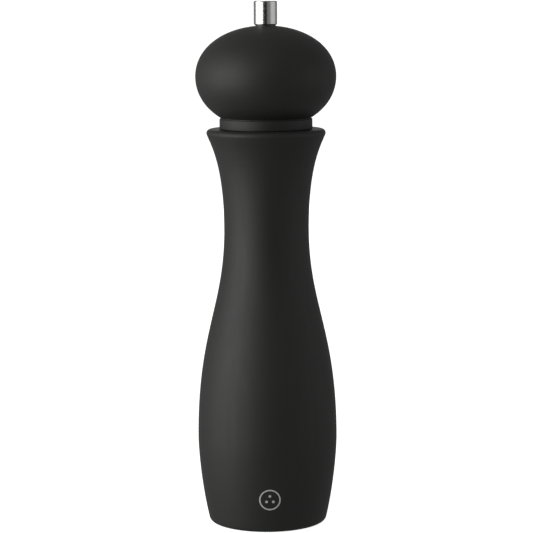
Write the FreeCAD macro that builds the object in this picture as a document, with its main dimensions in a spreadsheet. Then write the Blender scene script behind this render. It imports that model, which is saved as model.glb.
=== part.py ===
"""Table pepper mill with a ceramic grinder and a steel adjusting knob on top, in millimetres.

The origin is the centre of the foot, on the table, with +Z up. A turned wooden body stands on its foot ring and
holds the peppercorns. A turned head seats in its mouth and turns a square shaft, which turns a ceramic cone in a
fixed ceramic ring at the bottom. The knob screws on the shaft's top end and pulls the cone up for a finer grind,
against a spring. The knob unscrews and the head lifts off for filling.
"""

import FreeCAD, Part
import Sketcher
import math
import os
import types

OUT = "parts"
SHEET = "Sizes"
OVER = 1.0  # how far a cutting shape runs past the face that it opens
MATCH = 1e-3  # an edge this near to a place is at that place

# Driving dimensions: alias, value. Lengths are in millimetres and angles in degrees.
DRIVING = [
    # body, outside
    ("body_height", 182.0),  # foot to the top face of the lip
    ("belly_radius", 32.1),
    ("belly_height", 39.5),
    ("waist_drop", 45.4),  # from the lip's top face down to the waist
    ("waist_wall", 5.95),  # wood left round the chamber at the waist
    ("lip_ledge", 6.6),  # how far the lip stands out past the neck
    ("lip_round", 1.8),
    ("lip_inner_round", 0.4),
    ("foot_ring", 2.8),  # width of the flat ring that touches the table
    ("foot_round", 2.2),
    # shape of the body's side: each handle is a share of its own stretch of the curve
    ("foot_spread", 4.1),
    ("foot_handle", 0.41),
    ("belly_low_handle", 0.13),
    ("belly_high_handle", 0.517),
    ("waist_low_handle", 0.376),
    ("waist_high_handle", 0.735),
    ("lip_spread", 0.55),
    ("lip_handle", 0.105),
    # body, inside
    ("chamber_radius", 13.5),
    ("mouth_depth", 10.0),
    ("mouth_wall", 2.0),  # mouth bush, round its bore
    ("mouth_flange", 3.5),  # mouth bush flange, past its own wall
    ("mouth_flange_thick", 1.2),
    ("seat_gap", 0.3),  # hairline between the lip and the neck
    # head
    ("neck_cover", 2.2),  # how far the neck covers past the mouth bush
    ("bulb_radius", 32.1),
    ("bulb_sink", 0.4),  # how far the bulb's own bottom would reach below the neck's
    ("bulb_upper", 23.0),
    ("bulb_lower", 24.0),
    ("bulb_fullness", 0.578),  # 0.552 would be an ellipse
    ("neck_groove", 0.45),
    ("neck_top", 4.6),  # neck's bottom face to the groove under the bulb
    ("neck_round", 0.35),
    ("spigot_length", 9.6),
    ("spigot_clear", 0.15),
    ("spigot_chamfer", 0.6),
    ("head_bore_clear", 0.5),  # round the turned corners of the shaft
    ("knob_seat_sink", 0.2),
    # knob and the parts under it
    ("knob_radius", 5.35),
    ("knob_top_chamfer", 0.35),
    ("knob_foot_chamfer", 0.45),
    ("knob_roof", 1.4),  # steel above the blind threaded hole
    ("knob_washer_inset", 0.75),
    ("knob_washer_thick", 0.4),
    ("seat_bush_wall", 1.3),
    ("seat_bush_length", 5.0),
    ("seat_bush_flange", 0.9),
    ("seat_bush_flange_thick", 0.9),
    # square drive shaft
    ("shaft_side", 6.0),
    ("shaft_corner", 0.9),  # the turned corners stand this far past the flats
    ("thread_radius", 2.5),
    ("thread_clear", 0.06),
    ("thread_hold", 6.5),  # thread still in the knob at the coarsest setting
    ("finest_rise", 0.8),  # shaft's travel up to the finest setting
    ("coarsest_drop", 1.6),  # shaft's travel down to the coarsest setting
    ("end_room", 0.6),  # left at the end of a travel
    ("shaft_tip_chamfer", 0.5),
    ("square_clear", 0.075),  # each side, in a square hole
    ("running_clear", 0.05),
    ("fit_clear", 0.03),  # between parts that are pressed or glued together
    # driver plate
    ("plate_inset", 0.75),
    ("plate_thick", 1.5),
    ("plate_screw_radius", 1.45),
    ("plate_screw_head", 2.6),
    ("plate_screw_length", 10.0),
    ("plate_screw_count", 2.0),
    # grinder, from the foot up
    ("base_recess", 3.0),  # table to the underside of the base plate
    ("base_plate_thick", 1.2),
    ("flange_width", 4.2),
    ("flange_thick", 2.0),
    ("pocket_clear", 0.1),
    ("housing_wall", 1.7),
    ("housing_neck_wall", 3.0),
    ("bridge_width", 5.0),
    ("bridge_thick", 3.4),
    ("bridge_hub_height", 5.0),
    ("bridge_hub_wall", 1.6),
    ("guide_wall", 1.2),
    ("base_screw_radius", 1.1),
    ("base_screw_head", 1.95),
    ("base_screw_length", 11.0),
    ("screw_cross", 1.0),  # width and depth of a screw's cross recess
    ("base_screw_count", 3.0),
    # grinding ring and cone
    ("rotor_lift", 1.4),  # base plate's top face to the cone's underside
    ("rotor_height", 13.0),
    ("rotor_fine_height", 4.8),
    ("rotor_top_wall", 1.4),  # ceramic round the hub, at the top
    ("rotor_coarse_flare", 2.8),
    ("rotor_fine_flare", 1.4),
    ("rotor_web", 1.5),  # ledge in the cone's bore, between its hub and its washer
    ("rotor_teeth", 30.0),
    ("rotor_tooth_depth", 0.7),
    ("rotor_tooth_lean", 22.0),
    ("rotor_flutes", 6.0),
    ("rotor_flute_depth", 1.9),
    ("rotor_flute_lean", 30.0),
    ("groove_flare", 0.75),  # half the width of a groove for each millimetre of its depth
    ("grind_gap", 0.45),  # radial, at the setting drawn
    ("stator_wall", 4.1),
    ("stator_mouth_wall", 2.6),
    ("stator_above", 0.9),  # how far the ring stands above the cone
    ("stator_teeth", 36.0),
    ("stator_tooth_depth", 0.7),
    ("stator_tooth_lean", -22.0),
    ("stator_flutes", 9.0),
    ("stator_flute_depth", 1.5),
    ("stator_flute_lean", -24.0),
    ("stator_key_count", 3.0),
    ("key_width", 2.6),
    ("key_depth", 0.8),
    # what holds the cone on the shaft
    ("rotor_hub_wall", 1.7),
    ("rotor_hub_lip", 0.9),
    ("rotor_hub_lip_thick", 0.8),
    ("hub_key_width", 2.2),
    ("hub_key_depth", 0.9),
    ("lock_washer_thick", 0.9),
    ("lock_washer_edge", 0.35),  # past the nut's corners
    ("nut_sink", 0.1),  # underside of the cone to the underside of its nut
    ("nut_thick", 2.9),
    ("nut_flats", 4.0),  # centre to flat
    ("shaft_tail", 0.5),  # thread that shows past the nut
    # spring and its washers
    ("spring_wire", 0.4),  # wire radius
    ("spring_gap", 0.45),  # between the spring and the shaft's corners
    ("spring_turns", 4.0),
    ("spring_length", 7.15),  # as it stands between its washers
    ("spring_seat_thick", 0.6),
    ("keyed_washer_thick", 1.0),
    ("spring_washer_edge", 0.9),  # how far both washers stand out past the spring
]


class Size:
    """A length that carries both its number and its spreadsheet expression."""

    def __init__(self, value, text):
        self.value = value
        self.text = text

    def _join(self, other, sign, value):
        other_text = other.text if isinstance(other, Size) else repr(other)
        return Size(value, f"({self.text} {sign} {other_text})")

    def __add__(self, other):
        return self._join(other, "+", self.value + number(other))

    def __sub__(self, other):
        return self._join(other, "-", self.value - number(other))

    def __mul__(self, other):
        return self._join(other, "*", self.value * number(other))

    def __truediv__(self, other):
        return self._join(other, "/", self.value / number(other))

    def __neg__(self):
        return Size(-self.value, f"(0 - {self.text})")


def number(x):
    return x.value if isinstance(x, Size) else float(x)


def whole(x):
    return int(round(number(x)))


doc = FreeCAD.newDocument("PepperMill")
sheet = doc.addObject("Spreadsheet::Sheet", SHEET)


def fill_sheet():
    for row, (alias, value) in enumerate(DRIVING, start=1):
        sheet.set(f"A{row}", alias)
        sheet.set(f"B{row}", str(value))
        sheet.setAlias(f"B{row}", alias)
    doc.recompute()
    known = {alias: Size(float(sheet.get(alias)), f"{SHEET}.{alias}") for alias, _ in DRIVING}
    return types.SimpleNamespace(**known)


s = fill_sheet()

# Places that several parts share, all worked out from the sheet.
corner_r = s.shaft_side / 2 + s.shaft_corner
waist_r = s.chamber_radius + s.waist_wall
waist_z = s.body_height - s.waist_drop
bush_r = s.chamber_radius + s.mouth_wall
bush_flange_r = bush_r + s.mouth_flange
neck_r = bush_flange_r + s.neck_cover
lip_r = neck_r + s.lip_ledge
spigot_r = s.chamber_radius - s.spigot_clear
head_bore_r = corner_r + s.head_bore_clear

rotor_hub_r = corner_r + s.rotor_hub_wall
rotor_bore = rotor_hub_r + s.fit_clear
rotor_top_r = rotor_bore + s.rotor_top_wall
rotor_mid_r = rotor_top_r + s.rotor_coarse_flare
rotor_foot_r = rotor_mid_r + s.rotor_fine_flare
stator_r = rotor_foot_r + s.grind_gap + s.stator_wall
housing_bore = stator_r + s.fit_clear
housing_r = housing_bore + s.housing_wall
housing_neck_r = housing_r - s.housing_neck_wall
flange_r = housing_r + s.flange_width
pocket_r = housing_r + s.pocket_clear
recess_r = flange_r + s.pocket_clear
base_screw_ring = (pocket_r + recess_r) / 2
foot_r = recess_r + s.foot_ring + s.foot_round
guide_r = corner_r + s.running_clear + s.guide_wall
bridge_hub_r = guide_r + s.fit_clear + s.bridge_hub_wall

plate_z = s.base_recess  # underside of the base plate
plate_top = plate_z + s.base_plate_thick
flange_top = plate_top + s.flange_thick
rotor_z = plate_top + s.rotor_lift
rotor_mid = rotor_z + s.rotor_fine_height
rotor_top = rotor_z + s.rotor_height
shoulder_z = rotor_top + s.stator_above
stator_top = shoulder_z - s.fit_clear
nut_z = rotor_z + s.nut_sink
tail_z = nut_z - s.shaft_tail
washer_z = nut_z + s.nut_thick
washer_top = washer_z + s.lock_washer_thick
hub_z = washer_top + s.rotor_web
hub_top = rotor_top + s.rotor_hub_lip_thick
nut_corner_r = s.nut_flats * (2 / math.sqrt(3))

spring_r = corner_r + s.spring_gap + s.spring_wire
spring_washer_r = spring_r + s.spring_wire + s.spring_washer_edge
spring_low = hub_top + s.spring_seat_thick
keyed_z = spring_low + s.spring_length
hub_floor = keyed_z + s.keyed_washer_thick + s.running_clear
housing_top = hub_floor + s.bridge_hub_height

neck_z = s.body_height + s.seat_gap
bulb_z = neck_z - s.bulb_sink + s.bulb_lower
spigot_z = neck_z - s.spigot_length
knob_seat_z = bulb_z + s.bulb_upper - s.knob_seat_sink
knob_z = knob_seat_z + s.knob_washer_thick
thread_top = knob_z + s.thread_hold + s.coarsest_drop
knob_top = thread_top + s.finest_rise + s.end_room + s.knob_roof
square_top = knob_seat_z - s.seat_bush_length - s.finest_rise - s.end_room
thread_hole_r = s.thread_radius + s.thread_clear
seat_bush_r = thread_hole_r + s.seat_bush_wall
seat_flange_r = seat_bush_r + s.seat_bush_flange
seat_flange_z = knob_seat_z - s.seat_bush_flange_thick
driver_plate_z = spigot_z - s.plate_thick
driver_plate_r = spigot_r - s.plate_inset
plate_screw_ring = (head_bore_r + driver_plate_r) / 2


# ---------------------------------------------------------------- sketch and feature helpers


def new_body(label):
    body = doc.addObject("PartDesign::Body", "Body_" + label)
    body.Label = label
    return body


def origin_plane(body, role):
    return next(f for f in body.Origin.OriginFeatures if f.Role == role)


def new_sketch(body, name, role="XZ_Plane", height=None, turn=0):
    """A sketch on an origin plane of its own body, raised to a height and turned by so many degrees if asked."""
    sketch = body.newObject("Sketcher::SketchObject", name)
    sketch.AttachmentSupport = [(origin_plane(body, role), "")]
    sketch.MapMode = "FlatFace"
    sketch.AttachmentOffset = FreeCAD.Placement(FreeCAD.Vector(0, 0, 0), FreeCAD.Rotation(turn, 0, 0))
    if height is not None:
        sketch.setExpression(".AttachmentOffset.Base.z", height.text)
    return sketch


def place(sketch, geometry, point, x, y):
    """Fixes one point of a sketch at x, y, bound to the sheet where those come from it."""
    for axis, kind, value in ((-2, "DistanceX", x), (-1, "DistanceY", y)):
        if not isinstance(value, Size) and value == 0:
            sketch.addConstraint(Sketcher.Constraint("PointOnObject", geometry, point, axis))
            continue
        index = sketch.addConstraint(Sketcher.Constraint(kind, -1, 1, geometry, point, number(value)))
        if isinstance(value, Size):
            sketch.setExpression(f"Constraints[{index}]", value.text)


class Curve:
    """Marks a cubic stretch of an outline, by its two inner poles."""

    def __init__(self, first, second):
        self.poles = [first, second]


def vector(point):
    return FreeCAD.Vector(number(point[0]), number(point[1]), 0)


def outline(sketch, steps):
    """Draws a closed outline of corners (x, y), with a Curve between two corners where that side is curved."""
    corners = [k for k, step in enumerate(steps) if not isinstance(step, Curve)]
    starts, ends = [], []
    for k, following in zip(corners, corners[1:] + corners[:1]):
        here, there = steps[k], steps[following]
        between = steps[(k + 1) % len(steps)]
        if isinstance(between, Curve):
            first = add_curve(sketch, [here, *between.poles, there])
            starts.append((first, 1))
            ends.append((first, 2))
        else:
            line = sketch.addGeometry(Part.LineSegment(vector(here), vector(there)), False)
            place(sketch, line, 1, *here)
            starts.append((line, 1))
            ends.append((line, 2))
    for k, (geometry, point) in enumerate(ends):
        following, start = starts[(k + 1) % len(starts)]
        sketch.addConstraint(Sketcher.Constraint("Coincident", geometry, point, following, start))
    return sketch


def add_curve(sketch, poles):
    """One cubic curve whose first three poles are placed; its last pole is held by what it joins."""
    curve = Part.BSplineCurve()
    curve.buildFromPolesMultsKnots([vector(p) for p in poles], [4, 4], [0, 1], False, 3)
    index = sketch.addGeometry(curve, False)
    sketch.exposeInternalGeometry(index)
    for k, pole in enumerate(poles[:3]):
        place(sketch, index + 1 + k, 3, *pole)
    return index


def turned(body, name, steps, cut=False):
    """Turns an outline of (radius, height) corners about the mill's axis, as new material or as a cut."""
    sketch = outline(new_sketch(body, name + "_outline"), steps)
    doc.recompute()
    feature = body.newObject("PartDesign::Groove" if cut else "PartDesign::Revolution", name)
    feature.Profile = sketch
    feature.ReferenceAxis = (sketch, ["V_Axis"])
    feature.Angle = 360.0
    body.Tip = feature
    doc.recompute()
    return feature


def ring_steps(inner, outer, low, high):
    return [(inner, low), (outer, low), (outer, high), (inner, high)]


def rectangle(sketch, x0, y0, x1, y1):
    return outline(sketch, [(x0, y0), (x1, y0), (x1, y1), (x0, y1)])


def circle(sketch, x, y, radius):
    index = sketch.addGeometry(Part.Circle(vector((x, y)), FreeCAD.Vector(0, 0, 1), number(radius)), False)
    place(sketch, index, 3, x, y)
    held = sketch.addConstraint(Sketcher.Constraint("Radius", index, number(radius)))
    sketch.setExpression(f"Constraints[{held}]", radius.text)
    return sketch


def extrude(body, name, sketch, length, cut=False, reverse=False):
    """Pads or pockets a sketch by a length; a pocket's volume is compared, so a cut that misses is found."""
    before = body.Shape.Volume if cut else 0.0
    feature = body.newObject("PartDesign::Pocket" if cut else "PartDesign::Pad", name)
    feature.Profile = sketch
    feature.Length = number(length)
    feature.setExpression("Length", length.text)
    feature.Reversed = reverse
    body.Tip = feature
    doc.recompute()
    if cut and not body.Shape.Volume < before - MATCH:
        raise RuntimeError(f"{name} removes nothing from {body.Label}")
    return feature


def polar(body, name, feature, count):
    """Repeats a feature round the mill's axis."""
    pattern = body.newObject("PartDesign::PolarPattern", name)
    pattern.Originals = [feature]
    pattern.Axis = (origin_axis(body), [""])
    pattern.Angle = 360.0
    pattern.Occurrences = whole(count)
    pattern.setExpression("Occurrences", count.text)
    body.Tip = pattern
    doc.recompute()
    return pattern


def origin_axis(body):
    return next(f for f in body.Origin.OriginFeatures if f.Role == "Z_Axis")


def ring_edges(shape, radius, height, away=0.0):
    """Names of the circular edges of that radius at that height, whose centres are so far from the axis."""
    found = []
    for k, edge in enumerate(shape.Edges, start=1):
        curve = edge.Curve
        if not isinstance(curve, Part.Circle):
            continue
        centre = curve.Center
        misses = (
            math.hypot(centre.x, centre.y) - number(away),
            curve.Radius - number(radius),
            centre.z - number(height),
        )
        if max(abs(miss) for miss in misses) < MATCH:
            found.append(f"Edge{k}")
    if not found:
        raise RuntimeError(f"no ring edge of radius {number(radius)} at {number(height)}")
    return found


def dress(body, name, kind, size, places, away=0.0):
    """Fillets or chamfers the ring edges at the (radius, height) places."""
    base = body.Tip
    edges = [e for radius, height in places for e in ring_edges(base.Shape, radius, height, away)]
    feature = body.newObject("PartDesign::" + kind, name)
    feature.Base = (base, edges)
    key = "Radius" if kind == "Fillet" else "Size"
    setattr(feature, key, number(size))
    feature.setExpression(key, size.text)
    body.Tip = feature
    doc.recompute()
    return feature


# ---------------------------------------------------------------- wooden body and what is fixed in it


def body_side():
    """The body's side, from the foot through belly and waist to the lip, as three cubic stretches."""
    belly = (s.belly_radius, s.belly_height)
    waist = (waist_r, waist_z)
    rise = waist_z - s.belly_height
    lip = (lip_r, s.body_height)
    foot_pole = (foot_r + s.foot_spread, s.belly_height * s.foot_handle)
    below_belly = (s.belly_radius, s.belly_height - s.belly_height * s.belly_low_handle)
    above_belly = (s.belly_radius, s.belly_height + rise * s.belly_high_handle)
    below_waist = (waist_r, waist_z - rise * s.waist_low_handle)
    above_waist = (waist_r, waist_z + s.waist_drop * s.waist_high_handle)
    below_lip = (lip_r - s.lip_spread, s.body_height - s.waist_drop * s.lip_handle)
    return [
        (foot_r, 0),
        Curve(foot_pole, below_belly),
        belly,
        Curve(above_belly, below_waist),
        waist,
        Curve(above_waist, below_lip),
        lip,
    ]


def make_body_shell():
    body = new_body("body_shell")
    turned(body, "Outside", [(s.chamber_radius, 0), *body_side(), (s.chamber_radius, s.body_height)])
    dress(body, "LipRound", "Fillet", s.lip_round, [(lip_r, s.body_height)])
    dress(body, "FootRound", "Fillet", s.foot_round, [(foot_r, 0)])
    bush_seat = s.body_height + s.seat_gap - s.mouth_flange_thick
    mouth_floor = s.body_height - s.mouth_depth
    flange_seat_r = bush_flange_r + s.fit_clear
    bush_seat_r = bush_r + s.fit_clear
    mouth = [
        (0, mouth_floor),
        (bush_seat_r, mouth_floor),
        (bush_seat_r, bush_seat),
        (flange_seat_r, bush_seat),
        (flange_seat_r, s.body_height + OVER),
        (0, s.body_height + OVER),
    ]
    turned(body, "MouthSeat", mouth, cut=True)
    pocket_top = housing_top + s.pocket_clear
    pocket = [
        (0, -s.foot_round),
        (recess_r, -s.foot_round),
        (recess_r, flange_top),
        (pocket_r, flange_top),
        (pocket_r, pocket_top),
        (0, pocket_top),
    ]
    turned(body, "GrinderPocket", pocket, cut=True)
    pilot_top = plate_z + s.base_screw_length + s.fit_clear
    sketch = new_sketch(body, "Pilot_place", "XY_Plane", height=flange_top)
    circle(sketch, base_screw_ring, 0, s.base_screw_radius + s.fit_clear)
    hole = extrude(body, "Pilot", sketch, pilot_top - flange_top, cut=True, reverse=True)
    polar(body, "Pilots", hole, s.base_screw_count)
    return body


def make_mouth_bush():
    body = new_body("mouth_bush")
    top = s.body_height + s.seat_gap
    under_flange = top - s.mouth_flange_thick
    floor = s.body_height - s.mouth_depth
    steps = [
        (s.chamber_radius, floor),
        (bush_r, floor),
        (bush_r, under_flange),
        (bush_flange_r, under_flange),
        (bush_flange_r, top),
        (s.chamber_radius, top),
    ]
    turned(body, "Turned", steps)
    dress(body, "LeadIn", "Chamfer", s.lip_inner_round, [(s.chamber_radius, top)])
    return body


def make_housing():
    body = new_body("grinder_housing")
    steps = [
        (housing_bore, plate_top),
        (flange_r, plate_top),
        (flange_r, flange_top),
        (housing_r, flange_top),
        (housing_r, housing_top),
        (housing_neck_r, housing_top),
        (housing_neck_r, shoulder_z),
        (housing_bore, shoulder_z),
    ]
    turned(body, "Cup", steps)
    sketch = new_sketch(body, "Bridge_outline", "XY_Plane", height=housing_top)
    half = s.bridge_width / 2
    reach = housing_neck_r + s.housing_neck_wall / 2
    rectangle(sketch, -reach, -half, reach, half)
    extrude(body, "Bridge", sketch, s.bridge_thick, reverse=True)
    turned(body, "Hub", bore_steps(bridge_hub_r, hub_floor, housing_top))
    bore_r = guide_r + s.fit_clear
    turned(body, "HubBore", bore_steps(bore_r, hub_floor - OVER, housing_top + OVER), cut=True)
    sketch = new_sketch(body, "KeySlot_outline", "XY_Plane", height=shoulder_z)
    half = s.key_width / 2 + s.fit_clear
    rectangle(sketch, housing_bore - OVER, -half, housing_bore + s.key_depth, half)
    slot = extrude(body, "KeySlot", sketch, shoulder_z - plate_top, cut=True)
    polar(body, "KeySlots", slot, s.stator_key_count)
    sketch = new_sketch(body, "ScrewHole_place", "XY_Plane", height=plate_top)
    circle(sketch, base_screw_ring, 0, s.base_screw_radius + s.fit_clear)
    hole = extrude(body, "ScrewHole", sketch, s.flange_thick, cut=True, reverse=True)
    polar(body, "ScrewHoles", hole, s.base_screw_count)
    return body


def make_guide_bush():
    body = new_body("shaft_guide_bush")
    turned(body, "Turned", ring_steps(corner_r + s.running_clear, guide_r, hub_floor, housing_top))
    return body


def make_base_plate():
    body = new_body("base_plate")
    outlet_r = rotor_foot_r + s.grind_gap * 2
    turned(body, "Ring", ring_steps(outlet_r, flange_r, plate_z, plate_top))
    dress(body, "Rim", "Fillet", s.lip_inner_round, [(flange_r, plate_z), (outlet_r, plate_z)])
    screw_holes(
        body, "ScrewHole", plate_z, s.base_plate_thick, base_screw_ring, s.base_screw_radius, s.base_screw_head,
        s.base_screw_count,
    )
    return body


def screw_steps(radius, head, length, low):
    """Outline of a countersunk wood screw that points up, as (distance from its own axis, height)."""
    return [
        (0, low),
        (head, low),
        (radius, low + head - radius),
        (radius, low + length - radius * 2),
        (0, low + length),
    ]


def screw_holes(body, name, low, thick, ring, radius, head, count):
    """Clearance holes through a plate, round the axis, countersunk for the heads on its lower face."""
    sketch = new_sketch(body, name + "_place", "XY_Plane", height=low)
    hole_r = radius + s.fit_clear
    circle(sketch, ring, 0, hole_r)
    hole = extrude(body, name, sketch, thick, cut=True, reverse=True)
    polar(body, name + "_all", hole, count)
    return dress(body, name + "_sink", "Chamfer", head - radius, [(hole_r, low)], away=ring)


def make_screws(label, steps, low, count, ring, arm):
    """Wood screws set round the axis: each is turned about its own line, with a cross recess in its head."""
    solids = []
    for k in range(whole(count)):
        body = new_body(f"{label}_{k + 1}")
        turned(body, "Turned", steps)
        for turn in (0, 90):
            sketch = new_sketch(body, f"Cross_{turn}", "XY_Plane", height=low, turn=turn)
            half = s.screw_cross / 2
            rectangle(sketch, -arm, -half, arm, half)
            extrude(body, f"Recess_{turn}", sketch, s.screw_cross, cut=True, reverse=True)
        angle = 2 * math.pi * k / whole(count)
        offset = FreeCAD.Vector(number(ring) * math.cos(angle), number(ring) * math.sin(angle), 0)
        body.Placement = FreeCAD.Placement(offset, FreeCAD.Rotation(math.degrees(angle), 0, 0))
        body.setExpression(".Placement.Base.x", (ring * math.cos(angle)).text)
        body.setExpression(".Placement.Base.y", (ring * math.sin(angle)).text)
        solids.append(body)
    group = doc.addObject("Part::Compound", "Group_" + label)
    group.Links = solids
    group.Label = label
    return group


def make_base_screws():
    steps = screw_steps(s.base_screw_radius, s.base_screw_head, s.base_screw_length, plate_z)
    return make_screws("base_screws", steps, plate_z, s.base_screw_count, base_screw_ring, s.base_screw_radius)


# ---------------------------------------------------------------- grinding ring and cone


def span(start, end):
    """Distance between two (radius, height) corners."""
    across, down = start[0] - end[0], start[1] - end[1]
    return Size(math.hypot(across.value, down.value), f"sqrt({across.text} ^ 2 + {down.text} ^ 2)")


def groove_cuts(body, name, start, end, lean, depth, count, inward=False):
    """Cuts leaning V grooves in a cone, all round.

    The bottom of the V runs straight down from start to end, both (radius, height), and goes on past each of
    them by its depth. It leans sideways by so many degrees.
    """
    past = depth / span(start, end)
    top_r = start[0] + (start[0] - end[0]) * past
    top_z = start[1] + (start[1] - end[1]) * past
    slope = math.degrees(math.atan2(number(start[0] - end[0]), number(start[1] - end[1])))
    along = FreeCAD.Rotation(FreeCAD.Vector(0, 1, 0), slope)
    leaning = FreeCAD.Rotation(FreeCAD.Vector(1, 0, 0), number(lean))
    sketch = body.newObject("Sketcher::SketchObject", name + "_outline")
    sketch.AttachmentSupport = [(origin_plane(body, "XY_Plane"), "")]
    sketch.MapMode = "FlatFace"
    sketch.AttachmentOffset = FreeCAD.Placement(FreeCAD.Vector(0, 0, 0), along * leaning)
    sketch.setExpression(".AttachmentOffset.Base.x", top_r.text)
    sketch.setExpression(".AttachmentOffset.Base.z", top_z.text)
    side = -1.0 if inward else 1.0
    mouth = depth + depth
    half = mouth * s.groove_flare
    outline(sketch, [(0, 0), (mouth * side, half), (mouth * side, -half)])
    doc.recompute()
    length = (span(start, end) + depth * 2) / math.cos(math.radians(number(lean)))
    groove = extrude(body, name, sketch, length, cut=True)
    return polar(body, name + "_all", groove, count)


def make_rotor():
    body = new_body("rotor")
    foot = (rotor_foot_r, rotor_z)
    middle = (rotor_mid_r, rotor_mid)
    top = (rotor_top_r, rotor_top)
    web_bore = corner_r + s.pocket_clear
    bore = [
        (rotor_bore, rotor_top),
        (rotor_bore, hub_z),
        (web_bore, hub_z),
        (web_bore, washer_top),
        (rotor_bore, washer_top),
        (rotor_bore, rotor_z),
    ]
    turned(body, "Cone", [foot, middle, top, *bore])
    tooth_end = (rotor_foot_r - s.rotor_tooth_depth, rotor_z)
    groove_cuts(body, "Tooth", middle, tooth_end, s.rotor_tooth_lean, s.rotor_tooth_depth, s.rotor_teeth)
    flute_start = (rotor_top_r - s.rotor_flute_depth, rotor_top)
    flute_end = (rotor_mid_r - s.rotor_flute_depth / 2, rotor_mid)
    groove_cuts(body, "Flute", flute_start, flute_end, s.rotor_flute_lean, s.rotor_flute_depth, s.rotor_flutes)
    sketch = new_sketch(body, "Key_outline", "XY_Plane", height=rotor_top)
    half = s.hub_key_width / 2 + s.fit_clear
    reach = rotor_hub_r + s.hub_key_depth + s.fit_clear
    rectangle(sketch, -reach, -half, reach, half)
    extrude(body, "KeyWay", sketch, rotor_top - hub_z, cut=True)
    return body


def make_rotor_hub():
    body = new_body("rotor_hub")
    lip = rotor_hub_r + s.rotor_hub_lip
    steps = [(0, hub_z), (rotor_hub_r, hub_z), (rotor_hub_r, rotor_top), (lip, rotor_top), (lip, hub_top), (0, hub_top)]
    turned(body, "Turned", steps)
    sketch = new_sketch(body, "Key_outline", "XY_Plane", height=hub_z)
    half = s.hub_key_width / 2
    reach = rotor_hub_r + s.hub_key_depth
    rectangle(sketch, -reach, -half, reach, half)
    extrude(body, "Keys", sketch, rotor_top - hub_z)
    square_hole(body, hub_top, hub_top - hub_z)
    return body


def square_hole(body, top, depth):
    sketch = new_sketch(body, "Square_outline", "XY_Plane", height=top)
    half = s.shaft_side / 2 + s.square_clear
    rectangle(sketch, -half, -half, half, half)
    return extrude(body, "SquareHole", sketch, depth, cut=True)


def stator_side(z):
    """The grinding ring's radius at a height in its fine stretch: the cone's, plus the grinding gap."""
    return rotor_mid_r + s.grind_gap + (rotor_mid - z) * (s.rotor_fine_flare / s.rotor_fine_height)


def make_stator():
    body = new_body("stator")
    low = plate_top + s.fit_clear
    mouth = (stator_r - s.stator_mouth_wall, stator_top)
    throat = (rotor_mid_r + s.grind_gap, rotor_mid)
    foot = (stator_side(low), low)
    turned(body, "Ring", [foot, (stator_r, low), (stator_r, stator_top), mouth, throat])
    sketch = new_sketch(body, "Key_outline", "XY_Plane", height=low)
    half = s.key_width / 2
    rectangle(sketch, stator_r - OVER, -half, housing_bore + s.key_depth - s.fit_clear, half)
    key = extrude(body, "Key", sketch, stator_top - low)
    polar(body, "Keys", key, s.stator_key_count)
    tooth_end = (foot[0] + s.stator_tooth_depth, low)
    groove_cuts(
        body, "Tooth", throat, tooth_end, s.stator_tooth_lean, s.stator_tooth_depth, s.stator_teeth, inward=True,
    )
    flute_start = (mouth[0] + s.stator_flute_depth, stator_top)
    groove_cuts(
        body, "Flute", flute_start, throat, s.stator_flute_lean, s.stator_flute_depth, s.stator_flutes, inward=True,
    )
    return body


# ---------------------------------------------------------------- shaft, spring and what holds the cone


def make_drive_shaft():
    body = new_body("drive_shaft")
    r = s.thread_radius
    steps = [
        (0, tail_z),
        (r - s.shaft_tip_chamfer, tail_z),
        (r, tail_z + s.shaft_tip_chamfer),
        (r, washer_top),
        (corner_r, washer_top),
        (corner_r, square_top),
        (r, square_top),
        (r, thread_top - s.shaft_tip_chamfer),
        (r - s.shaft_tip_chamfer, thread_top),
        (0, thread_top),
    ]
    turned(body, "Bar", steps)
    half = s.shaft_side / 2
    for turn in range(4):
        sketch = new_sketch(body, f"Flat_{turn}_outline", "XY_Plane", height=square_top, turn=90.0 * turn)
        rectangle(sketch, half, -corner_r, corner_r + OVER, corner_r)
        extrude(body, f"Flat_{turn}", sketch, square_top - washer_top, cut=True)
    return body


def make_lock_washer():
    body = new_body("rotor_washer")
    outer = nut_corner_r + s.lock_washer_edge
    turned(body, "Turned", ring_steps(thread_hole_r, outer, washer_z, washer_top))
    return body


def make_nut():
    """A hexagon nut, its lower corners bevelled."""
    body = new_body("rotor_nut")
    sketch = new_sketch(body, "Hexagon", "XY_Plane", height=nut_z)
    slant_x, slant_y = nut_corner_r / 2, s.nut_flats
    corners = [
        (nut_corner_r, 0),
        (slant_x, slant_y),
        (-slant_x, slant_y),
        (-nut_corner_r, 0),
        (-slant_x, -slant_y),
        (slant_x, -slant_y),
    ]
    outline(sketch, corners)
    extrude(body, "Blank", sketch, s.nut_thick)
    outside = nut_corner_r + OVER
    bevel = (outside - s.nut_flats) / 2
    turned(body, "Bevel", [(s.nut_flats, nut_z), (outside, nut_z + bevel), (outside, nut_z)], cut=True)
    turned(body, "Bore", bore_steps(thread_hole_r, nut_z - OVER, washer_z + OVER), cut=True)
    return body


def make_keyed_washer():
    body = new_body("keyed_washer")
    top = keyed_z + s.keyed_washer_thick
    turned(body, "Disc", bore_steps(spring_washer_r, keyed_z, top))
    square_hole(body, top, s.keyed_washer_thick)
    return body


def make_spring_seat():
    body = new_body("spring_seat_washer")
    turned(body, "Disc", ring_steps(corner_r + s.running_clear, spring_washer_r, hub_top, spring_low))
    return body


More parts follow.
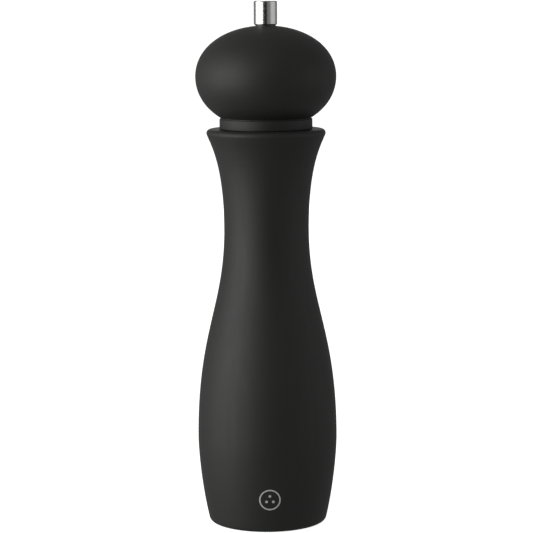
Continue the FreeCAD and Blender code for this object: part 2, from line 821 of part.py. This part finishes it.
def make_spring():
    """Round wire in a helix between its seat washer and the keyed washer."""
    body = new_body("pressure_spring")
    low = spring_low + s.spring_wire + s.fit_clear
    high = keyed_z - s.spring_wire - s.fit_clear
    sketch = new_sketch(body, "Wire_section")
    circle(sketch, spring_r, low, s.spring_wire)
    doc.recompute()
    helix = body.newObject("PartDesign::AdditiveHelix", "Coil")
    helix.Profile = sketch
    helix.ReferenceAxis = (sketch, ["V_Axis"])
    helix.Mode = 2  # height and turns
    helix.Height = number(high - low)
    helix.setExpression("Height", (high - low).text)
    helix.Turns = number(s.spring_turns)
    helix.setExpression("Turns", s.spring_turns.text)
    body.Tip = helix
    doc.recompute()
    return body


# ---------------------------------------------------------------- head, driver plate and knob


def make_head():
    body = new_body("head")
    full = s.bulb_fullness
    top, bottom = bulb_z + s.bulb_upper, bulb_z - s.bulb_lower
    wide = (s.bulb_radius, bulb_z)
    steps = [
        (0, bottom),
        Curve((s.bulb_radius * full, bottom), (s.bulb_radius, bulb_z - s.bulb_lower * full)),
        wide,
        Curve((s.bulb_radius, bulb_z + s.bulb_upper * full), (s.bulb_radius * full, top)),
        (0, top),
    ]
    turned(body, "Bulb", steps)
    groove_z = neck_z + s.neck_top
    groove_r = neck_r - s.neck_groove
    neck = [
        (0, spigot_z),
        (spigot_r - s.spigot_chamfer, spigot_z),
        (spigot_r, spigot_z + s.spigot_chamfer),
        (spigot_r, neck_z),
        (neck_r, neck_z),
        (neck_r, groove_z - s.neck_round),
        (neck_r - s.neck_round, groove_z),
        (groove_r, groove_z),
        (groove_r, bulb_z),
        (0, bulb_z),
    ]
    turned(body, "Neck", neck)
    floor = knob_seat_z - s.seat_bush_length
    turned(body, "ShaftBore", bore_steps(head_bore_r, spigot_z - OVER, floor), cut=True)
    bush_hole = seat_bush_r + s.fit_clear
    flange_hole = seat_flange_r + s.fit_clear
    seat = [
        (0, floor),
        (bush_hole, floor),
        (bush_hole, seat_flange_z),
        (flange_hole, seat_flange_z),
        (flange_hole, top + OVER),
        (0, top + OVER),
    ]
    turned(body, "BushSeat", seat, cut=True)
    sketch = new_sketch(body, "Pilot_place", "XY_Plane", height=spigot_z)
    circle(sketch, plate_screw_ring, 0, s.plate_screw_radius + s.fit_clear)
    depth = s.plate_screw_length - s.plate_thick + s.fit_clear
    hole = extrude(body, "Pilot", sketch, depth, cut=True, reverse=True)
    polar(body, "Pilots", hole, s.plate_screw_count)
    return body


def bore_steps(radius, low, high):
    return [(0, low), (radius, low), (radius, high), (0, high)]


def make_seat_bush():
    body = new_body("knob_seat_bush")
    low = knob_seat_z - s.seat_bush_length
    steps = [
        (thread_hole_r, low),
        (seat_bush_r, low),
        (seat_bush_r, seat_flange_z),
        (seat_flange_r, seat_flange_z),
        (seat_flange_r, knob_seat_z),
        (thread_hole_r, knob_seat_z),
    ]
    turned(body, "Turned", steps)
    return body


def make_driver_plate():
    body = new_body("driver_plate")
    turned(body, "Disc", bore_steps(driver_plate_r, driver_plate_z, spigot_z))
    square_hole(body, spigot_z, s.plate_thick)
    screw_holes(
        body, "ScrewHole", driver_plate_z, s.plate_thick, plate_screw_ring, s.plate_screw_radius,
        s.plate_screw_head, s.plate_screw_count,
    )
    return body


def make_plate_screws():
    low = driver_plate_z
    steps = screw_steps(s.plate_screw_radius, s.plate_screw_head, s.plate_screw_length, low)
    count, ring = s.plate_screw_count, plate_screw_ring
    return make_screws("driver_plate_screws", steps, low, count, ring, s.plate_screw_radius)


def make_knob_washer():
    body = new_body("knob_washer")
    turned(body, "Turned", ring_steps(thread_hole_r, s.knob_radius - s.knob_washer_inset, knob_seat_z, knob_z))
    return body


def make_knob():
    body = new_body("adjusting_knob")
    turned(body, "Turned", bore_steps(s.knob_radius, knob_z, knob_top))
    dress(body, "TopEdge", "Chamfer", s.knob_top_chamfer, [(s.knob_radius, knob_top)])
    dress(body, "FootEdge", "Chamfer", s.knob_foot_chamfer, [(s.knob_radius, knob_z)])
    turned(body, "ThreadedHole", bore_steps(thread_hole_r, knob_z - OVER, knob_top - s.knob_roof), cut=True)
    return body


# ---------------------------------------------------------------- build, check and write

PARTS = [
    make_body_shell(),
    make_mouth_bush(),
    make_housing(),
    make_guide_bush(),
    make_base_plate(),
    make_base_screws(),
    make_stator(),
    make_rotor(),
    make_rotor_hub(),
    make_drive_shaft(),
    make_lock_washer(),
    make_nut(),
    make_keyed_washer(),
    make_spring_seat(),
    make_spring(),
    make_head(),
    make_seat_bush(),
    make_driver_plate(),
    make_plate_screws(),
    make_knob_washer(),
    make_knob(),
]


def check_and_write():
    doc.recompute()
    for obj in doc.Objects:
        if {"Invalid", "Error"} & set(obj.State):
            raise RuntimeError(f"{obj.Label} failed: {obj.State}")
    os.makedirs(OUT, exist_ok=True)
    for part in PARTS:
        shape = part.Shape
        if shape.isNull() or not shape.isValid() or not shape.Solids:
            raise RuntimeError(f"{part.Label} has no valid solid")
        shape.exportStep(os.path.join(OUT, part.Label + ".step"))
        print(f"{part.Label}: {len(shape.Solids)} solid, {shape.Volume:.1f} mm3")


check_and_write()
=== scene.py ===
"""Looks of a black lacquered pepper mill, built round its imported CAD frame. Lengths are in metres."""

import math
import random

import bmesh
import bpy
from mathutils import Matrix, Vector


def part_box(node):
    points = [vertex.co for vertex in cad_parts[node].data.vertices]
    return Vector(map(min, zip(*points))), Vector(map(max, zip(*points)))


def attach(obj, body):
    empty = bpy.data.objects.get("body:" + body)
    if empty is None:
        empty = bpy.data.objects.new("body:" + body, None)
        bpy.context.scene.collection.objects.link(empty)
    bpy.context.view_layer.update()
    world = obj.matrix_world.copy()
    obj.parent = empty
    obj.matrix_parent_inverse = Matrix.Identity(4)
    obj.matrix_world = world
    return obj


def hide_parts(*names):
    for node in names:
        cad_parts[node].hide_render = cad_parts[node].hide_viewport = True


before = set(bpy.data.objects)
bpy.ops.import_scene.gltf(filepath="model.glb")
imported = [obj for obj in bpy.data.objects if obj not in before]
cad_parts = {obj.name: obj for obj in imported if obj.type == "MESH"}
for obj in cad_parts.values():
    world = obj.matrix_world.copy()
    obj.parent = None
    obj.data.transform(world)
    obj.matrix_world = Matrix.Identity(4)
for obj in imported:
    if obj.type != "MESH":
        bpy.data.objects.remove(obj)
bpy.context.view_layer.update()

MM = 0.001
SEGMENTS = 192  # round the axis, on the large turned pieces
FINE_SEGMENTS = 128  # on the small ones
CORNER = math.radians(25)  # a profile that turns more than this has a corner there
RIPPLE = 0.03 * MM  # depth of the rings that the turning tool leaves in the wood
SMOOTH_END = 6 * MM  # the rings stop this far from the ends of a turned piece
PATH_STEP = 0.5 * MM  # between the points of a turned piece's outline

# ---------------------------------------------------------------- profiles read from the frame


def seam_chains(node):
    """The (radius, height) chains of a turned node along its seam, which lies in the half plane of +X."""
    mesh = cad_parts[node].data
    places = [(round(math.hypot(v.co.x, v.co.y), 7), round(v.co.z, 7)) for v in mesh.vertices]
    on_seam = [abs(v.co.y) < 1e-7 and v.co.x > 0 for v in mesh.vertices]
    links = {}
    for edge in mesh.edges:
        a, b = edge.vertices
        if on_seam[a] and on_seam[b] and places[a] != places[b]:
            links.setdefault(places[a], set()).add(places[b])
            links.setdefault(places[b], set()).add(places[a])
    chains = []
    left = set(links)
    while left:
        ends = [p for p in left if len(links[p]) == 1]
        here = min(ends or left, key=lambda p: (p[1], p[0]))
        chain = []
        while here is not None:
            chain.append(here)
            left.discard(here)
            onward = [p for p in links[here] if p in left]
            here = min(onward, key=lambda p: math.dist(p, chain[-1])) if onward else None
        chains.append(chain)
    return chains


def section(node, screws):
    """The outline of a turned node on one side of the axis, closed, without its screw holes."""
    low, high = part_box(screws)
    near = [v.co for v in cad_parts[screws].data.vertices if v.co.x > 0 and abs(v.co.y) < high.x / 4]
    ring_low, ring_high = min(c.x for c in near), max(c.x for c in near)

    def in_hole(point):
        return ring_low < point[0] < ring_high and low.z < point[1] < high.z + MM

    return [p for chain in seam_chains(node) for p in chain if not in_hole(p)]


def turn_at(before, here, after):
    """The angle by which a path turns at a point."""
    a = math.atan2(here[1] - before[1], here[0] - before[0])
    b = math.atan2(after[1] - here[1], after[0] - here[0])
    return abs((b - a + math.pi) % (2 * math.pi) - math.pi)


def smooth_run(points, step):
    """Resamples a run of points on a smooth curve, with a centripetal Catmull-Rom curve through them."""
    if len(points) < 3:
        return [points[0], points[-1]]
    pts = [Vector(p) for p in points]
    pts = [2 * pts[0] - pts[1], *pts, 2 * pts[-1] - pts[-2]]
    out = []
    for k in range(1, len(pts) - 2):
        p0, p1, p2, p3 = pts[k - 1 : k + 3]
        t1 = math.sqrt((p1 - p0).length)
        t2 = t1 + math.sqrt((p2 - p1).length)
        t3 = t2 + math.sqrt((p3 - p2).length)
        count = max(1, round((p2 - p1).length / step))
        for i in range(count):
            t = t1 + (t2 - t1) * i / count
            a1 = p0 * ((t1 - t) / t1) + p1 * (t / t1)
            a2 = p1 * ((t2 - t) / (t2 - t1)) + p2 * ((t - t1) / (t2 - t1))
            a3 = p2 * ((t3 - t) / (t3 - t2)) + p3 * ((t - t2) / (t3 - t2))
            b1 = a1 * ((t2 - t) / t2) + a2 * (t / t2)
            b2 = a2 * ((t3 - t) / (t3 - t1)) + a3 * ((t - t1) / (t3 - t1))
            c = b1 * ((t2 - t) / (t2 - t1)) + b2 * ((t - t1) / (t2 - t1))
            out.append((c.x, c.y))
    out.append(points[-1])
    return out


def resample(path, step):
    """Splits a closed outline at its corners and resamples each smooth run between them."""
    count = len(path)
    corners = [k for k in range(count) if turn_at(path[k - 1], path[k], path[(k + 1) % count]) > CORNER]
    out = []
    for a, b in zip(corners, corners[1:] + [corners[0] + count]):
        run = [path[k % count] for k in range(a, b + 1)]
        out += smooth_run(run, step)[:-1]
    return out


def soften(path, radius, closed):
    """Replaces each corner of a path by a small arc."""
    out = []
    count = len(path)
    for k, here in enumerate(path):
        inner = closed or 0 < k < count - 1
        before, after = path[k - 1], path[(k + 1) % count]
        if not inner or turn_at(before, here, after) < CORNER:
            out.append(here)
            continue
        h, b, a = Vector(here), Vector(before), Vector(after)
        back, on = b - h, a - h
        turn = turn_at(before, here, after)
        reach = min(radius * math.tan(turn / 2), back.length * 0.4, on.length * 0.4)
        start, end = h + back.normalized() * reach, h + on.normalized() * reach
        steps = max(2, round(math.degrees(turn) / 15))
        for i in range(steps + 1):
            t = i / steps
            p = start * (1 - t) ** 2 + h * (2 * t * (1 - t)) + end * t**2
            out.append((p.x, p.y))
    return out


# ---------------------------------------------------------------- mesh building


def new_object(name, bm):
    bmesh.ops.recalc_face_normals(bm, faces=bm.faces)
    mesh = bpy.data.meshes.new(name)
    bm.to_mesh(mesh)
    bm.free()
    mesh.shade_smooth()
    mesh.set_sharp_from_angle(angle=math.radians(35))
    piece = bpy.data.objects.new(name, mesh)
    bpy.context.scene.collection.objects.link(piece)
    return piece


def turned(name, path, segments, closed=True):
    """Turns a path of (radius, height) points about the axis. An open path starts and ends on the axis."""
    bm = bmesh.new()
    rings = []
    for radius, height in path:
        if radius < 1e-7:
            rings.append([bm.verts.new((0, 0, height))])
            continue
        ring = []
        for k in range(segments):
            angle = 2 * math.pi * k / segments
            ring.append(bm.verts.new((radius * math.cos(angle), radius * math.sin(angle), height)))
        rings.append(ring)
    pairs = list(zip(rings, rings[1:]))
    if closed:
        pairs.append((rings[-1], rings[0]))
    for low, high in pairs:
        for k in range(segments):
            n = (k + 1) % segments
            corners = [low[k % len(low)], low[n % len(low)], high[n % len(high)], high[k % len(high)]]
            distinct = list(dict.fromkeys(corners))
            if len(distinct) > 2:
                bm.faces.new(distinct)
    return new_object(name, bm)


def finish_piece(piece, body, slot, *nodes):
    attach(piece, body)
    if nodes:
        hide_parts(*nodes)
    return piece


# ---------------------------------------------------------------- materials


class Nodes:
    """Short calls for building one material's node tree."""

    def __init__(self, name):
        self.material = bpy.data.materials.new(name)
        self.material.use_nodes = True
        self.tree = self.material.node_tree
        self.shader = self.tree.nodes["Principled BSDF"]
        self.coordinates = self.add("ShaderNodeTexCoord").outputs["Object"]

    def add(self, kind, **settings):
        node = self.tree.nodes.new(kind)
        for key, value in settings.items():
            setattr(node, key, value)
        return node

    def link(self, source, target):
        self.tree.links.new(source, target)

    def set(self, **values):
        """Sets the shader's own sockets, named with underscores for spaces."""
        for key, value in values.items():
            self.shader.inputs[key.replace("_", " ")].default_value = value

    def stretched(self, scale):
        node = self.add("ShaderNodeMapping")
        node.inputs["Scale"].default_value = scale
        self.link(self.coordinates, node.inputs["Vector"])
        return node.outputs["Vector"]

    def noise(self, vector, scale, detail=3.0, roughness=0.5):
        node = self.add("ShaderNodeTexNoise")
        node.inputs["Scale"].default_value = scale
        node.inputs["Detail"].default_value = detail
        node.inputs["Roughness"].default_value = roughness
        self.link(vector, node.inputs["Vector"])
        return node.outputs["Fac"]

    def radius_height(self):
        """A vector of (distance from the axis, height, 0), so that what reads it runs round in rings."""
        parts = self.add("ShaderNodeSeparateXYZ")
        self.link(self.coordinates, parts.inputs[0])
        squares = [self.maths("MULTIPLY", parts.outputs[i], parts.outputs[i]) for i in (0, 1)]
        radius = self.maths("SQRT", self.maths("ADD", *squares))
        both = self.add("ShaderNodeCombineXYZ")
        self.link(radius, both.inputs[0])
        self.link(parts.outputs[2], both.inputs[1])
        return both.outputs[0]

    def maths(self, operation, *values):
        node = self.add("ShaderNodeMath", operation=operation)
        for socket, value in zip(node.inputs, values):
            if isinstance(value, (int, float)):
                socket.default_value = value
            else:
                self.link(value, socket)
        return node.outputs[0]

    def spread(self, value, low, high, to_low, to_high):
        node = self.add("ShaderNodeMapRange")
        self.link(value, node.inputs["Value"])
        for key, number in (("From Min", low), ("From Max", high), ("To Min", to_low), ("To Max", to_high)):
            node.inputs[key].default_value = number
        return node.outputs["Result"]

    def ramp(self, value, *stops):
        """A colour ramp of (position, colour) stops."""
        node = self.add("ShaderNodeValToRGB")
        band = node.color_ramp
        while len(band.elements) < len(stops):
            band.elements.new(0.5)
        for element, (position, colour) in zip(band.elements, stops):
            element.position = position
            element.color = (*colour, 1)
        self.link(value, node.inputs["Fac"])
        return node.outputs["Color"]

    def bump(self, height, strength, distance, normal=None):
        node = self.add("ShaderNodeBump")
        node.inputs["Strength"].default_value = strength
        node.inputs["Distance"].default_value = distance
        self.link(height, node.inputs["Height"])
        if normal is not None:
            self.link(normal, node.inputs["Normal"])
        return node.outputs["Normal"]

    def colour(self, value):
        self.link(value, self.shader.inputs["Base Color"])

    def roughness(self, value):
        self.link(value, self.shader.inputs["Roughness"])

    def normal(self, value):
        self.link(value, self.shader.inputs["Normal"])


def lacquer():
    """Matt black lacquer over turned beech: lathe rings, faint upright grain and a fine sprayed texture."""
    n = Nodes("black_lacquer")
    rings = n.noise(n.radius_height(), 900, 4, 0.65)
    grain = n.noise(n.stretched((1, 1, 0.06)), 420, 3, 0.6)
    cloud = n.noise(n.stretched((1, 1, 0.35)), 28, 2)
    spray = n.noise(n.coordinates, 3200, 2)
    n.colour(n.ramp(cloud, (0.3, (0.0175, 0.0170, 0.0160)), (0.7, (0.0215, 0.0210, 0.0200))))
    n.roughness(n.spread(n.maths("ADD", grain, cloud), 0.6, 1.4, 0.56, 0.64))
    shape = n.bump(rings, 0.16, 0.00012)
    shape = n.bump(grain, 0.16, 0.00010, shape)
    n.normal(n.bump(spray, 0.10, 0.00004, shape))
    n.set(Specular_IOR_Level=0.45)
    return n.material


def bare_beech():
    """Unfinished turned beech, where the lacquer stops: pale, with dark flecks and rings from the tool."""
    n = Nodes("bare_beech")
    grain = n.noise(n.stretched((1, 1, 0.05)), 260, 5, 0.65)
    flecks = n.noise(n.stretched((1, 1, 0.22)), 900, 2, 0.7)
    rings = n.noise(n.radius_height(), 700, 3, 0.6)
    tone = n.maths("ADD", n.maths("MULTIPLY", grain, 0.75), n.maths("MULTIPLY", flecks, 0.25))
    dark, middle, light = (0.30, 0.16, 0.075), (0.47, 0.28, 0.15), (0.60, 0.40, 0.24)
    n.colour(n.ramp(tone, (0.30, dark), (0.48, middle), (0.72, light)))
    n.roughness(n.spread(flecks, 0.3, 0.7, 0.55, 0.75))
    n.normal(n.bump(rings, 0.3, 0.0002, n.bump(grain, 0.25, 0.0002)))
    return n.material


def turned_steel():
    """Stainless steel as the lathe leaves it: fine rings round the axis, polished."""
    n = Nodes("turned_steel")
    rings = n.noise(n.radius_height(), 5200, 3, 0.6)
    wide = n.noise(n.radius_height(), 900, 2)
    n.colour(n.ramp(wide, (0.3, (0.58, 0.575, 0.56)), (0.7, (0.66, 0.655, 0.64))))
    n.roughness(n.spread(rings, 0.3, 0.7, 0.16, 0.28))
    n.normal(n.bump(rings, 0.15, 0.00002, n.bump(wide, 0.12, 0.00006)))
    n.set(Metallic=1.0, Anisotropic=0.3)
    return n.material


def sheet_steel():
    """Pressed and tumbled stainless steel, for plates, washers, screws and nuts."""
    n = Nodes("sheet_steel")
    rolled = n.noise(n.stretched((1, 0.05, 1)), 2600, 3, 0.6)
    patches = n.noise(n.coordinates, 220, 3)
    n.colour(n.ramp(patches, (0.3, (0.50, 0.495, 0.48)), (0.7, (0.60, 0.595, 0.58))))
    n.roughness(n.spread(rolled, 0.3, 0.7, 0.26, 0.42))
    n.normal(n.bump(rolled, 0.10, 0.00003))
    n.set(Metallic=1.0)
    return n.material


def drawn_aluminium():
    """Square bar as drawn: fine lines along its length."""
    n = Nodes("drawn_aluminium")
    lines = n.noise(n.stretched((1, 1, 0.01)), 5200, 3, 0.6)
    patches = n.noise(n.coordinates, 120, 3)
    n.colour(n.ramp(patches, (0.3, (0.62, 0.625, 0.635)), (0.7, (0.72, 0.725, 0.735))))
    n.roughness(n.spread(lines, 0.3, 0.7, 0.28, 0.44))
    n.normal(n.bump(lines, 0.2, 0.00003))
    n.set(Metallic=1.0)
    return n.material


def moulded_nylon():
    """Black glass-filled nylon with a fine eroded surface."""
    n = Nodes("moulded_nylon")
    eroded = n.noise(n.coordinates, 2600, 3, 0.6)
    flow = n.noise(n.stretched((1, 1, 0.3)), 90, 3)
    n.colour(n.ramp(flow, (0.3, (0.020, 0.020, 0.021)), (0.7, (0.030, 0.030, 0.031))))
    n.roughness(n.spread(eroded, 0.3, 0.7, 0.42, 0.58))
    n.normal(n.bump(eroded, 0.25, 0.00005))
    return n.material


def fired_ceramic():
    """Unglazed technical ceramic, off-white with a fine grain."""
    n = Nodes("fired_ceramic")
    grains = n.noise(n.coordinates, 3400, 4, 0.7)
    tint = n.noise(n.coordinates, 160, 3)
    n.colour(n.ramp(tint, (0.3, (0.68, 0.66, 0.60)), (0.7, (0.80, 0.78, 0.73))))
    n.roughness(n.spread(grains, 0.3, 0.7, 0.38, 0.6))
    n.normal(n.bump(grains, 0.2, 0.00004))
    n.set(Subsurface_Weight=0.08, Subsurface_Scale=0.0006)
    return n.material


def printed_grey():
    """Thin pad-printed ink, pale grey, slightly uneven."""
    n = Nodes("printed_grey")
    cover = n.noise(n.coordinates, 2400, 3, 0.6)
    n.colour(n.ramp(cover, (0.3, (0.52, 0.52, 0.51)), (0.6, (0.64, 0.64, 0.63))))
    n.roughness(n.spread(cover, 0.3, 0.7, 0.45, 0.6))
    n.normal(n.bump(cover, 0.15, 0.00002))
    return n.material


LACQUER, BEECH, TURNED, SHEET = lacquer(), bare_beech(), turned_steel(), sheet_steel()
DRAWN, NYLON, CERAMIC, INK = drawn_aluminium(), moulded_nylon(), fired_ceramic(), printed_grey()


def paint(piece, *materials):
    piece.data.materials.clear()
    for material in materials:
        piece.data.materials.append(material)


def paint_inside(piece, inside):
    """Gives the second material to the faces for whose centre inside(radius, height) is true."""
    for face in piece.data.polygons:
        centre = face.center
        if inside(math.hypot(centre.x, centre.y), centre.z):
            face.material_index = 1


# ---------------------------------------------------------------- the turned wooden pieces


def rippled(path, is_outside, seed):
    """Moves the outer points of an outline in a little, as the faint rings that the tool left."""
    draw = random.Random(seed)
    waves = []
    for _ in range(5):
        length = draw.uniform(1.5, 4.5) * MM
        waves.append((length, draw.uniform(0, 2 * math.pi), draw.uniform(0.5, 1)))
    most = sum(weight for _, _, weight in waves)
    out = []
    for radius, height in path:
        if is_outside(radius, height):
            rise = sum(w * math.sin(2 * math.pi * height / length + phase) for length, phase, w in waves)
            radius -= RIPPLE * (1 - rise / most) / 2
        out.append((radius, height))
    return out


def make_body():
    """The turned body, lacquered outside and bare where the grinder and the mouth bush sit."""
    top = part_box("body_shell")[1].z
    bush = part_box("mouth_bush")[1].x
    path = resample(section("body_shell", "base_screws"), PATH_STEP)
    path = rippled(path, lambda r, z: r > bush and SMOOTH_END < z < top - SMOOTH_END, 3)
    body = turned("turned_body", soften(path, 0.15 * MM, True), SEGMENTS)
    paint(body, LACQUER, BEECH)
    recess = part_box("base_plate")[1].x + 0.2 * MM
    paint_inside(body, lambda r, z: r < bush or (z < top / 2 and r < recess))
    return finish_piece(body, "mill_body", "lacquered_wood", "body_shell"), path


def make_head():
    """The turned head: spigot, neck, groove and bulb, bored through for the shaft."""
    neck_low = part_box("mouth_bush")[1].z
    knob_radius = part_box("adjusting_knob")[1].x
    path = resample(section("head", "driver_plate_screws"), PATH_STEP)
    path = rippled(path, lambda r, z: r > 2 * knob_radius and z > neck_low + SMOOTH_END, 8)
    head = turned("turned_head", soften(path, 0.12 * MM, True), SEGMENTS)
    paint(head, LACQUER, BEECH)
    bush_low, bush_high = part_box("knob_seat_bush")
    bore = bush_high.x
    paint_inside(head, lambda r, z: z < neck_low - 1e-5 or (r < bore and z < bush_high.z))
    return finish_piece(head, "head", "lacquered_wood", "head")


body, body_side = make_body()
make_head()


def side_radius(height):
    """The body's outer radius at a height."""
    found = []
    for (r0, z0), (r1, z1) in zip(body_side, body_side[1:] + body_side[:1]):
        if min(z0, z1) <= height <= max(z0, z1) and z0 != z1:
            found.append(r0 + (r1 - r0) * (height - z0) / (z1 - z0))
    return max(found)


# ---------------------------------------------------------------- knob


def make_knob():
    """The steel knob: turned edges and a blind threaded hole from below."""
    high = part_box("adjusting_knob")[1]
    chain = seam_chains("adjusting_knob")[0]
    path = [(0, chain[0][1]), *chain, (0, high.z)]
    knob = turned("turned_knob", soften(path, 0.12 * MM, False), FINE_SEGMENTS, closed=False)
    paint(knob, TURNED)
    return finish_piece(knob, "knob", "knob_steel", "adjusting_knob")


make_knob()

# ---------------------------------------------------------------- printed mark


def printed_patch(name, outline, hole=None):
    """A printed patch lying on the body's front: outlines are (across, height) points, in metres."""
    bm = bmesh.new()
    proud, sunk = 0.03 * MM, -0.02 * MM

    def on_body(point, lift):
        across, height = point
        radius = side_radius(height)
        angle = -math.pi / 2 + across / radius
        return ((radius + lift) * math.cos(angle), (radius + lift) * math.sin(angle), height)

    loops = [outline, hole if hole else [outline_centre(outline)] * len(outline)]
    top = [[bm.verts.new(on_body(p, proud)) for p in loop] for loop in loops]
    under = [[bm.verts.new(on_body(p, sunk)) for p in loop] for loop in loops]
    count = len(outline)
    for k in range(count):
        n = (k + 1) % count
        bm.faces.new((top[0][k], top[0][n], top[1][n], top[1][k]))
        bm.faces.new((under[0][k], under[1][k], under[1][n], under[0][n]))
        bm.faces.new((top[0][k], under[0][k], under[0][n], top[0][n]))
        if hole:
            bm.faces.new((top[1][k], top[1][n], under[1][n], under[1][k]))
    bmesh.ops.remove_doubles(bm, verts=bm.verts, dist=1e-7)
    piece = new_object(name, bm)
    paint(piece, INK)
    return finish_piece(piece, "mill_body", "printed_mark")


def outline_centre(outline):
    return tuple(sum(p[i] for p in outline) / len(outline) for i in (0, 1))


def round_outline(centre, radius, count=64):
    angles = [2 * math.pi * k / count for k in range(count)]
    return [(centre[0] + radius * math.cos(a), centre[1] + radius * math.sin(a)) for a in angles]


MARK_HEIGHT = 16.0 * MM
MARK_RADIUS = 4.9 * MM
MARK_LINE = 0.62 * MM
DOT_RADIUS = 0.62 * MM
DOT_RING = 1.75 * MM
mark_centre = (0.9 * MM, MARK_HEIGHT)
mark_edges = [round_outline(mark_centre, radius) for radius in (MARK_RADIUS, MARK_RADIUS - MARK_LINE)]
printed_patch("mark_ring", *mark_edges)
for k in range(3):
    turn = math.radians(90 + 120 * k)
    place = (mark_centre[0] + DOT_RING * math.cos(turn), mark_centre[1] + DOT_RING * math.sin(turn))
    printed_patch(f"mark_dot_{k + 1}", round_outline(place, DOT_RADIUS, 32))

# ---------------------------------------------------------------- CAD nodes that stay

NODE_MATERIALS = {
    NYLON: ["mouth_bush", "grinder_housing", "shaft_guide_bush", "rotor_hub", "knob_washer"],
    SHEET: [
        "base_plate",
        "base_screws",
        "driver_plate",
        "driver_plate_screws",
        "rotor_nut",
        "rotor_washer",
        "keyed_washer",
        "spring_seat_washer",
        "pressure_spring",
        "knob_seat_bush",
    ],
    DRAWN: ["drive_shaft"],
    CERAMIC: ["stator", "rotor"],
}
for material, names in NODE_MATERIALS.items():
    for name in names:
        paint(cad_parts[name], material)

# ---------------------------------------------------------------- floor, light and camera


FLOOR_GLOW = 0.9


def pale_paper():
    """Matt white paper that glows a little, as a lit white studio does."""
    n = Nodes("pale_paper")
    shade = n.noise(n.coordinates, 2.0, 2)
    n.colour(n.ramp(shade, (0.3, (0.80, 0.80, 0.80)), (0.7, (0.82, 0.82, 0.82))))
    n.set(Roughness=0.95, Specular_IOR_Level=0.1)
    n.shader.inputs["Emission Color"].default_value = (1, 1, 1, 1)
    n.shader.inputs["Emission Strength"].default_value = FLOOR_GLOW
    return n.material


def make_stage():
    """A pale floor that curves up into a wall all round. The mill is neither lit by it nor mirrors it."""
    edge, bend, rise, count, drop = 3.0, 1.2, 3.2, 96, 0.02 * MM
    line = [(edge - bend, 0)]
    for k in range(1, 13):
        angle = math.pi / 2 * k / 12
        line.append((edge - bend + bend * math.sin(angle), bend - bend * math.cos(angle)))
    line.append((edge, rise))
    bm = bmesh.new()
    rings = [[bm.verts.new((0, 0, 0))] * count]
    for radius, height in line:
        turns = [2 * math.pi * k / count for k in range(count)]
        ring = [(radius * math.cos(t), radius * math.sin(t), height) for t in turns]
        rings.append([bm.verts.new(place) for place in ring])
    for low, high in zip(rings, rings[1:]):
        for k in range(count):
            n = (k + 1) % count
            bm.faces.new(tuple(dict.fromkeys((low[k], low[n], high[n], high[k]))))
    for vertex in bm.verts:
        vertex.co.z -= drop
    floor = new_object("floor", bm)
    paint(floor, pale_paper())
    floor.visible_glossy = False
    floor.visible_diffuse = False


def make_dark_card():
    """A black card beyond the camera, which the steel knob mirrors as a dark band down its front."""
    distance, left, right, low, high = 1.25, -24, 17, -0.6, 0.7
    bm = bmesh.new()
    rows = []
    for k in range(9):
        turn = math.radians(left + (right - left) * k / 8)
        across, deep = distance * math.sin(turn), -distance * math.cos(turn)
        rows.append([bm.verts.new((across, deep, z)) for z in (low, high)])
    for (a, b), (c, d) in zip(rows, rows[1:]):
        bm.faces.new((a, c, d, b))
    card = new_object("dark_card", bm)
    n = Nodes("black_card")
    black, worn = (0.006, 0.006, 0.006), (0.010, 0.010, 0.010)
    n.colour(n.ramp(n.noise(n.coordinates, 30.0), (0.3, black), (0.7, worn)))
    n.set(Roughness=0.95, Specular_IOR_Level=0.0)
    paint(card, n.material)
    card.visible_camera = False
    card.visible_shadow = False


def area_light(name, azimuth, elevation, width, height, radiance):
    """A soft box that faces the mill. Azimuth is measured from the front (-Y) towards +X, in degrees."""
    data = bpy.data.lights.new(name, "AREA")
    data.shape = "RECTANGLE"
    data.size, data.size_y = width, height
    data.energy = radiance * math.pi * width * height
    lamp = bpy.data.objects.new(name, data)
    bpy.context.scene.collection.objects.link(lamp)
    a, e = math.radians(azimuth), math.radians(elevation)
    away = Vector((math.sin(a) * math.cos(e), -math.cos(a) * math.cos(e), math.sin(e)))
    lamp.location = LIGHT_AIM + away * LIGHT_DISTANCE
    lamp.rotation_euler = away.to_track_quat("Z", "Y").to_euler()
    lamp.visible_camera = False
    return lamp


LIGHT_AIM, LIGHT_DISTANCE = Vector((0, 0, 0.12)), 1.5
LIGHTS = [
    # name, azimuth, elevation, width, height, radiance
    ("key_side", -72, 2, 0.80, 1.0, 4.35),
    ("key_front", -42, 2, 0.77, 1.0, 2.45),
    ("key_back", -98, 2, 0.55, 1.0, 1.2),
    ("key_high", -62, 34, 1.20, 0.55, 2.05),
    ("fill_right", 80, 4, 1.60, 1.0, 0.45),
    ("behind", 180, 9, 0.60, 0.40, 2.0),
]
make_stage()
make_dark_card()
for light in LIGHTS:
    area_light(*light)

world = bpy.data.worlds.new("studio")
world.use_nodes = True
world.node_tree.nodes["Background"].inputs["Color"].default_value = (1, 1, 1, 1)
world.node_tree.nodes["Background"].inputs["Strength"].default_value = 0.25
bpy.context.scene.world = world


def make_camera():
    """Looks at the mill from its front, a little above, through a long lens."""
    distance, height, pitch, roll = 1.0, 0.252, math.radians(7.596), math.radians(-0.3)
    data = bpy.data.cameras.new("camera")
    data.lens, data.sensor_width = 148.2, 36.0
    data.clip_start, data.clip_end = 0.05, 20.0
    camera = bpy.data.objects.new("camera", data)
    bpy.context.scene.collection.objects.link(camera)
    aim = Matrix.Rotation(math.pi / 2 - pitch, 4, "X") @ Matrix.Rotation(roll, 4, "Z")
    camera.matrix_world = Matrix.Translation((-0.0001, -distance, height)) @ aim
    bpy.context.scene.camera = camera


make_camera()
bpy.context.scene.view_settings.view_transform = "Standard"
